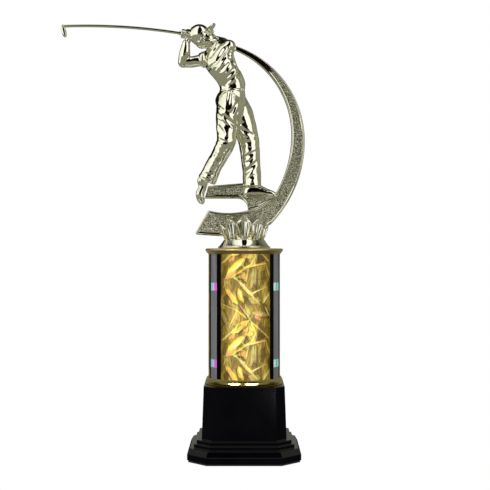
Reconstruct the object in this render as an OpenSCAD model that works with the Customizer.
// Column trophy: a golfer on a crescent plate, a lotus crown, a foiled column and a weighted base.
// Millimetres, +Z up. The origin is on the column's axis, on the surface the base rests on.
// The front is -Y and the golf club points to -X.

/* [Base] */
// Width of the plinth across its flat sides
plinth_w = 77; // [74:0.5:84]
// Height at which the base ends and the column ring begins
base_top_z = 50.6; // [48:0.2:56]
// Width of the base block at its foot
block_w = 57.5; // [56.5:0.5:60]
// Thickness of the felt under the base
felt_t = 1.2; // [0.8:0.1:2]
// Wall thickness of the base moulding
base_wall = 2.5; // [2:0.1:3]

/* [Column] */
// Outer radius of the finished column
column_r = 25; // [24.5:0.1:26]
// Height of the column that shows between ring and cap
column_show = 85.5; // [60:0.5:160]
// Wall thickness of the column tube
tube_wall = 2; // [1.5:0.1:3]
// Number of foil panels round the column
panel_count = 3; // [2:1:4]
// Angle that one foil panel covers
panel_angle = 84; // [70:1:86]
// Angle that one prism strip covers
strip_angle = 17; // [10:1:20]

/* [Fasteners] */
// Radius of the threaded rod
rod_r = 3; // [2.5:0.1:3.2]
// Running clearance between the rod and the insert it turns in
rod_clearance = 0.05; // [0.02:0.01:0.09]
// Gap between the top cap and the foot of the figure
swivel_gap = 0.25; // [0.2:0.05:0.4]

/* [Figure] */
// Radius of the foot
foot_r = 18.3; // [17:0.1:20]
// Number of petals in the crown
petal_count = 10; // [8:2:12]
// Half the thickness of the crescent plate at its root
plate_half_root = 3; // [2.6:0.1:3.4]
// Half the thickness of the crescent plate at its tip
plate_half_tip = 1.4; // [1.2:0.1:2]
// Width of the raised rim round the plate's panels
rim_w = 1.5; // [1:0.1:2]
// Depth of the plate's sunk panels
panel_sink = 0.5; // [0.3:0.1:0.8]
// Radius of the club's shaft
shaft_r = 0.85; // [0.7:0.05:1]

/* [Hidden] */

gold = "#c9a93f";
champagne = "#b9b48f";
smooth = 96;
overlap = 0.5;

// Base: heights of the steps above the table
plinth_side_z = 5.5;
plinth_bevel_z = 9.1;
tier_low_z = 11.8;
tier_high_z = 14.6;
plinth_half = plinth_w / 2;
plinth_cham = 13.3;
block_half = block_w / 2;
block_taper = 1.25;
top_plate_t = 3;
boss_r = 8;
rib_t = 2;
clear_r = rod_r + 0.4;

// Clamped stack inside the base
rod_bottom_z = 2.6;
nut_h = 5;
nut_flats = 10;
washer_t = 1.6;
bottom_nut_z = 4.4;
bottom_washer_z = bottom_nut_z + nut_h;
weight_z = bottom_washer_z + washer_t;
weight_h = 20;
weight_half = 23;

// Column: the tube stands on the ring's floor and ends under the cap's floor
ring_floor_t = 2;
ring_h = 4.4;
film_t = 0.15;
foil_t = 0.15;
tube_r = column_r - film_t - foil_t;
film_r = column_r - foil_t;
tube_bottom_z = base_top_z + ring_floor_t;
cap_bottom_z = base_top_z + ring_h - 0.3 + column_show;
tube_top_z = cap_bottom_z + 1.8;
cap_top_z = cap_bottom_z + 3.8;
socket_r = column_r + 0.05;
spigot_r = tube_r - tube_wall - 0.2;
spigot_wall = 2;
well_r = 9;
well_wall = 2;
well_floor_z = cap_top_z - 6.8;
cap_washer_z = well_floor_z;
cap_nut_z = cap_washer_z + washer_t - 0.2;
panel_turn = -90 + 2.75;
panel_pitch = 360 / panel_count;

// Figure foot, insert and crown, from the cap upwards
foot_z = cap_top_z + swivel_gap;
foot_top_z = foot_z + 5.8;
post_r = 8;
post_top_z = foot_top_z + 3;
insert_r = 4.5;
insert_z = foot_z + 0.4;
insert_h = 7.2;
rod_top_z = insert_z + insert_h - 0.4;
crown_base_r = 12.4;
crown_floor_t = 2;
petal_t = 1.5;
petal_z = foot_top_z;
petal_pitch = 360 / petal_count;

// Crescent plate, drawn in the XZ plane. Each edge is a chain of arcs: [centre x, centre z, radius]
outer_top = [-28, 219.15, 70.4];
outer_low = [-41.3, 219.15, 83.7];
outer_foot = [-3.05, 180.9, 29];
inner_top = [-31.2, 223.6, 64.2];
inner_low = [-48.7, 223.6, 81.7];
slot_floor = [-11.2, 219.4, 50.6];
slot_end = [-5, 171.4, 7.6];
ground_top = [2, 165.9, 24];
plate_taper_z = [190, 286];

// Golfer: joints as [x, y, z, radius], chosen by hand
hip_far = [-3, 1.5, 241, 8.4];
knee_far = [3.6, 0, 216, 7.1];
ankle_far = [5.4, -1.5, 192, 6.3];
hip_near = [-10.5, -7, 240, 9.2];
knee_near = [-12.6, -8.4, 217, 6.4];
ankle_near = [-24.8, -4, 194.5, 5.9];
pelvis = [-9.2, -3, 248, 10.3];
waist = [-8.2, -2.6, 256, 8.6];
belly = [-10.4, -2.4, 264, 10];
chest = [-17.2, -1.6, 273.6, 10.4];
neck_root = [-17.5, -0.6, 283, 5.2];
head_low = [-25.5, -0.8, 288.5, 5.2];
head_mid = [-28.5, -0.8, 291.8, 6.6];
cap_crown = [-31.1, -0.8, 294, 7.3];
brim_root = [-26.4, -1, 296.2, 3];
brim_tip = [-20.6, -1.6, 301, 0.9];
shoulder_near = [-11, -3.6, 284.4, 5.3];
shoulder_far = [-26, 4.6, 278.6, 5];
elbow_far = [-43.2, 4.4, 275.1, 3.5];
wrist_far = [-41.4, 1.4, 287.6, 2.6];
elbow_near = [-15.8, 7.8, 291.4, 3.1];
wrist_near = [-35, 4.6, 292.2, 2.4];
fists = [-40.6, 1.2, 292.4, 4];
heel_near = [-31, -3.8, 190, 2.9];
ball_near = [-30.8, -3.4, 181.6, 2.9];
toe_near = [-29.4, -3.4, 177.2, 2.2];
heel_far = [5, -1.6, 183.4, 4];
ball_far = [14, -2, 182.6, 3.9];
toe_far = [21.6, -2.2, 181.2, 1.9];

// Club: the shaft bows along one large arc in the XZ plane
shaft_arc = [-112, -131.5, 432];
club_y = 1.2;
shaft_from = 92.1;
shaft_to = 80.9;
grip_r = 1.35;
grip_to = 79.4;

// ---- helpers ----

// Points on an arc given as [centre x, centre z, radius], from one angle to another
function arc_points(arc, from, to, steps = 24) =
    [for (i = [0 : steps]) let (a = from + (to - from) * i / steps)
        [arc[0] + arc[2] * cos(a), arc[1] + arc[2] * sin(a)]];

// A square block with cut corners. Each level is [height, half width, corner cut]
module cut_stack(levels) {
    flats = [for (level = levels) [level[1], level[0]]];
    corners = [for (level = levels) [(2 * level[1] - level[2]) / sqrt(2), level[0]]];
    intersection() {
        side_prism(0, flats);
        side_prism(90, flats);
        side_prism(45, corners);
        side_prism(135, corners);
    }
}

// One pair of opposite sides as a long prism turned about Z, from its right half outline
module side_prism(turn, outline) {
    steps = len(outline);
    mirrored = [for (i = [steps - 1 : -1 : 0]) [-outline[i][0], outline[i][1]]];
    rotate([0, 0, turn])
    rotate([90, 0, 0])
    linear_extrude(height = 4 * plinth_half, center = true)
    polygon(concat(outline, mirrored));
}

// A flat ring between two radii and two heights
module ring(r_out, r_in, z0, z1) {
    difference() {
        translate([0, 0, z0]) cylinder(r = r_out, h = z1 - z0, $fn = smooth);
        translate([0, 0, z0 - 1]) cylinder(r = r_in, h = z1 - z0 + 2, $fn = smooth);
    }
}

// A hexagon nut on the rod
module hex_nut(z) {
    difference() {
        translate([0, 0, z]) cylinder(r = nut_flats / sqrt(3), h = nut_h, $fn = 6);
        translate([0, 0, z - 1]) cylinder(r = rod_r, h = nut_h + 2, $fn = smooth);
    }
}

// A wedge of a ring, centred on the front of one foil panel
module ring_sector(r_out, r_in, z0, z1, angle, turn) {
    rotate([0, 0, turn - angle / 2])
    translate([0, 0, z0])
    rotate_extrude(angle = angle, $fn = smooth)
    translate([r_in, 0])
    square([r_out - r_in, z1 - z0]);
}

// A ball at a joint given as [x, y, z, radius]
module ball(joint) {
    translate([joint[0], joint[1], joint[2]]) sphere(r = joint[3], $fn = 18);
}

// A limb: a skin stretched over the balls at its joints
module limb(joints) {
    hull() for (joint = joints) ball(joint);
}

// ---- column body ----

module base_felt() {
    color("#161616")
    cut_stack([[0, plinth_half - 0.8, 12.7], [felt_t, plinth_half - 0.8, 12.7]]);
}

module base_shell() {
    block_top_half = block_half - block_taper;
    block_foot_half = block_half + block_taper * (tier_high_z - felt_t) / (base_top_z - tier_high_z);
    hollow_half = block_top_half - base_wall;
    hollow_top_z = base_top_z - top_plate_t;
    stem_z = weight_z + weight_h;
    stem_h = hollow_top_z - stem_z + overlap;
    color("#0b0b0b")
    difference() {
        union() {
            difference() {
                union() {
                    cut_stack([
                        [felt_t, plinth_half, plinth_cham], [plinth_side_z, plinth_half, plinth_cham],
                        [plinth_bevel_z, plinth_half - 2, 12.4]
                    ]);
                    cut_stack([[felt_t, 34, 11.2], [tier_low_z, 34, 11.2]]);
                    cut_stack([[felt_t, 32.1, 9.6], [tier_high_z, 32.1, 9.6]]);
                    cut_stack([
                        [felt_t, block_foot_half, 7.2], [base_top_z, block_top_half, 6.3]
                    ]);
                }
                cut_stack([
                    [0, plinth_half - base_wall, 12], [plinth_bevel_z - base_wall, plinth_half - base_wall, 12]
                ]);
                cut_stack([[0, 29.6, 8.4], [tier_high_z - base_wall, 29.6, 8.4]]);
                cut_stack([[0, hollow_half, 5], [hollow_top_z, hollow_half, 5]]);
            }
            translate([0, 0, stem_z]) cylinder(r = boss_r, h = stem_h, $fn = smooth);
            for (turn = [0, 90])
                rotate([0, 0, turn])
                translate([-hollow_half - 2 * overlap, -rib_t / 2, stem_z])
                cube([2 * (hollow_half + 2 * overlap), rib_t, stem_h]);
        }
        translate([0, 0, tier_low_z]) cylinder(r = clear_r, h = base_top_z, $fn = smooth);
    }
}

module base_weight() {
    color("#4a4a4a")
    difference() {
        cut_stack([[weight_z, weight_half, 5], [weight_z + weight_h, weight_half, 5]]);
        translate([0, 0, weight_z - 1]) cylinder(r = clear_r, h = weight_h + 2, $fn = smooth);
    }
}

module bottom_washer() {
    color("silver") ring(15, clear_r, bottom_washer_z, bottom_washer_z + washer_t);
}

module bottom_nut() {
    color("silver") hex_nut(bottom_nut_z);
}

module tie_rod() {
    color("silver")
    translate([0, 0, rod_bottom_z])
    cylinder(r = rod_r, h = rod_top_z - rod_bottom_z, $fn = smooth);
}

module column_ring() {
    color(gold)
    rotate_extrude($fn = smooth)
    polygon([
        [clear_r, base_top_z], [25.4, base_top_z], [26, base_top_z + 0.4], [26, base_top_z + 1],
        [25.7, base_top_z + 1.3], [26.5, base_top_z + 1.8], [26.5, base_top_z + 2.6],
        [26.1, base_top_z + 3.6], [25.6, base_top_z + ring_h - 0.2], [socket_r, base_top_z + ring_h - 0.3],
        [socket_r, tube_bottom_z], [spigot_r, tube_bottom_z], [spigot_r, tube_bottom_z + 10],
        [spigot_r - spigot_wall, tube_bottom_z + 10], [spigot_r - spigot_wall, tube_bottom_z],
        [clear_r, tube_bottom_z]
    ]);
}

module column_tube() {
    color("#2a2a2a") ring(tube_r, tube_r - tube_wall, tube_bottom_z, tube_top_z);
}

module film_black() {
    color("black") ring(film_r, tube_r, tube_bottom_z, tube_top_z);
}

module foil_panels() {
    color("#a5872c")
    for (i = [0 : panel_count - 1])
        ring_sector(column_r, film_r, tube_bottom_z, tube_top_z, panel_angle, panel_turn + i * panel_pitch);
}

module prism_strips() {
    color("#8a8a90")
    for (i = [0 : panel_count - 1])
        ring_sector(column_r, film_r, tube_bottom_z, tube_top_z, strip_angle,
            panel_turn + (i + 0.5) * panel_pitch);
}

module top_cap() {
    color(gold)
    rotate_extrude($fn = smooth)
    polygon([
        [clear_r, well_floor_z - well_wall], [well_r + well_wall, well_floor_z - well_wall],
        [well_r + well_wall, tube_top_z], [spigot_r - spigot_wall, tube_top_z],
        [spigot_r - spigot_wall, tube_top_z - 10], [spigot_r, tube_top_z - 10], [spigot_r, tube_top_z],
        [socket_r, tube_top_z], [socket_r, cap_bottom_z], [25.3, cap_bottom_z],
        [25.9, cap_bottom_z + 0.9], [26.6, cap_bottom_z + 1.6], [27.1, cap_bottom_z + 2.4],
        [27.1, cap_bottom_z + 3.2], [26.6, cap_top_z], [well_r, cap_top_z], [well_r, well_floor_z],
        [clear_r, well_floor_z]
    ]);
}

module cap_washer() {
    color("silver") ring(8.4, clear_r, cap_washer_z, cap_washer_z + washer_t - 0.2);
}

module cap_nut() {
    color("silver") hex_nut(cap_nut_z);
}

// ---- figure body ----

module figure_foot() {
    color(champagne)
    difference() {
        rotate_extrude($fn = smooth)
        polygon([
            [0, foot_z], [foot_r - 0.3, foot_z], [foot_r, foot_z + 0.3], [foot_r, foot_z + 0.9],
            [foot_r - 0.7, foot_z + 1.4], [foot_r - 1.1, foot_z + 1.5], [16.4, foot_z + 2.6],
            [15.2, foot_z + 4.2], [14.5, foot_top_z - 0.4], [14.2, foot_top_z],
            [post_r, foot_top_z], [post_r, post_top_z], [0, post_top_z]
        ]);
        translate([0, 0, foot_z - 1]) cylinder(r = rod_r + 0.6, h = 3, $fn = smooth);
        translate([0, 0, insert_z]) cylinder(r = insert_r, h = insert_h, $fn = smooth);
    }
}

module figure_insert() {
    color("#c8a048") ring(insert_r, rod_r + rod_clearance, insert_z, insert_z + insert_h);
}

// Height of a petal's tip: the front and back petals stand highest
function petal_tip_z(turn) = petal_z + 10.3 + 5.2 * pow(abs(cos(turn)), 3);

// One petal that faces -Y, with a ridge down its middle
module petal(tip_z) {
    mid_z = petal_z + 0.62 * (tip_z - petal_z);
    face = [
        [-2.6, 12.2, petal_z], [0, 12.9, petal_z], [2.6, 12.2, petal_z],
        [-5.2, 16.2, mid_z], [0, 18, mid_z], [5.2, 16.2, mid_z],
        [0, 18.3, tip_z]
    ];
    front = [for (p = face) [p[0], -p[1], p[2]]];
    back = [for (p = face) [p[0] * 0.8, petal_t - p[1], p[2] - (p[2] == tip_z ? 1 : 0)]];
    polyhedron(
        points = concat(front, back),
        faces = [
            [0, 3, 4], [0, 4, 1], [1, 4, 5], [1, 5, 2], [3, 6, 4], [4, 6, 5],
            [7, 11, 10], [7, 8, 11], [8, 12, 11], [8, 9, 12], [10, 11, 13], [11, 12, 13],
            [0, 7, 10], [0, 10, 3], [3, 10, 13], [3, 13, 6], [6, 13, 12], [6, 12, 5],
            [5, 12, 9], [5, 9, 2], [2, 9, 8], [2, 8, 1], [1, 8, 7], [1, 7, 0]
        ]
    );
}

module lotus_crown() {
    color(champagne)
    difference() {
        union() {
            ring(crown_base_r + 0.3, post_r, petal_z, petal_z + crown_floor_t);
            for (i = [0 : petal_count - 1])
                rotate([0, 0, i * petal_pitch]) petal(petal_tip_z(i * petal_pitch));
        }
        plate_slab(plate_half_root + 0.02);
    }
}

// The crescent with its lower prong
module crescent_outline() {
    polygon(concat(
        [[-34, 154.2], [-32.6, 153.6]],
        arc_points(outer_foot, -93, -45, 10),
        arc_points(outer_low, -45, 0),
        arc_points(outer_top, 0, 71.5),
        arc_points(inner_top, 67.5, 0),
        arc_points(inner_low, 0, -31),
        arc_points(slot_floor, -49.4, -105),
        [[-25.2, 170.4]]
    ));
}

// The upper prong that the golfer stands on
module ground_outline() {
    polygon(concat(
        [[-27.3, 179]],
        arc_points(slot_end, 90, -8, 10),
        [[10, 172], [20, 177.5], [22, 181]],
        arc_points(ground_top, 38, 90, 8),
        [[-25, 187.7]]
    ));
}

// The plate's outline as a slab of even thickness, for cutting its neighbours
module plate_slab(half) {
    rotate([90, 0, 0])
    linear_extrude(height = 2 * half, center = true)
    union() {
        crescent_outline();
        ground_outline();
    }
}

// Everything between the plate's two leaning faces, a little sunk or not
module plate_depth(sink) {
    root = plate_half_root - sink;
    tip = plate_half_tip - sink / 2;
    rotate([90, 0, 90])
    linear_extrude(height = 140, center = true)
    polygon([
        [-root, 140], [root, 140], [root, plate_taper_z[0]], [tip, plate_taper_z[1]],
        [tip, 300], [-tip, 300], [-tip, plate_taper_z[1]], [-root, plate_taper_z[0]]
    ]);
}

// A rim along an outline: the outline less its own inset
module rim_slab() {
    rotate([90, 0, 0])
    linear_extrude(height = 4 * plate_half_root, center = true)
    union() {
        difference() {
            crescent_outline();
            offset(delta = -rim_w) crescent_outline();
        }
        difference() {
            ground_outline();
            offset(delta = -rim_w) ground_outline();
            offset(delta = -rim_w) crescent_outline();
        }
    }
}

module swoosh_arc() {
    color(champagne)
    difference() {
        union() {
            intersection() {
                plate_slab(2 * plate_half_root);
                plate_depth(panel_sink);
            }
            intersection() {
                rim_slab();
                plate_depth(0);
            }
        }
        translate([0, 0, foot_z]) cylinder(r = post_r, h = post_top_z - foot_z, $fn = smooth);
    }
}

module golfer() {
    color(champagne)
    difference() {
        union() {
            limb([hip_far, knee_far]);
            limb([knee_far, ankle_far]);
            limb([hip_near, knee_near]);
            limb([knee_near, ankle_near]);
            limb([hip_far, hip_near, pelvis]);
            limb([pelvis, waist]);
            limb([waist, belly]);
            limb([belly, chest]);
            limb([chest, shoulder_near, neck_root]);
            limb([chest, shoulder_far]);
            limb([neck_root, head_low]);
            limb([head_low, head_mid, cap_crown]);
            limb([brim_root, brim_tip]);
            limb([shoulder_far, elbow_far]);
            limb([elbow_far, wrist_far]);
            limb([shoulder_near, elbow_near]);
            limb([elbow_near, wrist_near]);
            limb([wrist_near, fists, wrist_far]);
            limb([ankle_near, heel_near]);
            limb([heel_near, ball_near, toe_near]);
            limb([ankle_far, heel_far]);
            limb([heel_far, ball_far, toe_far]);
        }
        plate_slab(plate_half_root);
        club_rod(grip_r, shaft_from, grip_to - 2);
    }
}

// A round rod along the club's arc between two angles
module club_rod(r, from, to) {
    translate([shaft_arc[0], club_y, shaft_arc[1]])
    rotate([90, 0, 0])
    rotate([0, 0, to])
    rotate_extrude(angle = from - to, $fn = smooth)
    translate([shaft_arc[2], 0])
    circle(r = r, $fn = 24);
}

module club_grip() {
    color("#8f8a68")
    difference() {
        club_rod(grip_r, shaft_to + 0.35, grip_to);
        club_rod(shaft_r, shaft_to + 1, shaft_to - 0.4);
    }
}

module club_shaft() {
    color(champagne) club_rod(shaft_r, shaft_from, shaft_to - 0.4);
}

module club_head() {
    color(champagne)
    translate([-127.9, club_y, 300.2])
    rotate([90, 0, 0])
    linear_extrude(height = 4, center = true)
    polygon([
        [-0.4, 1], [0.6, 1.1], [1.6, 0.4], [2.4, -1.6], [3, -4.4], [2.8, -6.4],
        [2, -7.6], [0.8, -6.2], [-0.4, -4], [-1, -1.6], [-1, 0.2]
    ]);
}

base_felt();
base_shell();
base_weight();
bottom_washer();
bottom_nut();
tie_rod();
column_ring();
column_tube();
film_black();
foil_panels();
prism_strips();
top_cap();
cap_washer();
cap_nut();
figure_foot();
figure_insert();
lotus_crown();
swoosh_arc();
golfer();
club_grip();
club_shaft();
club_head();
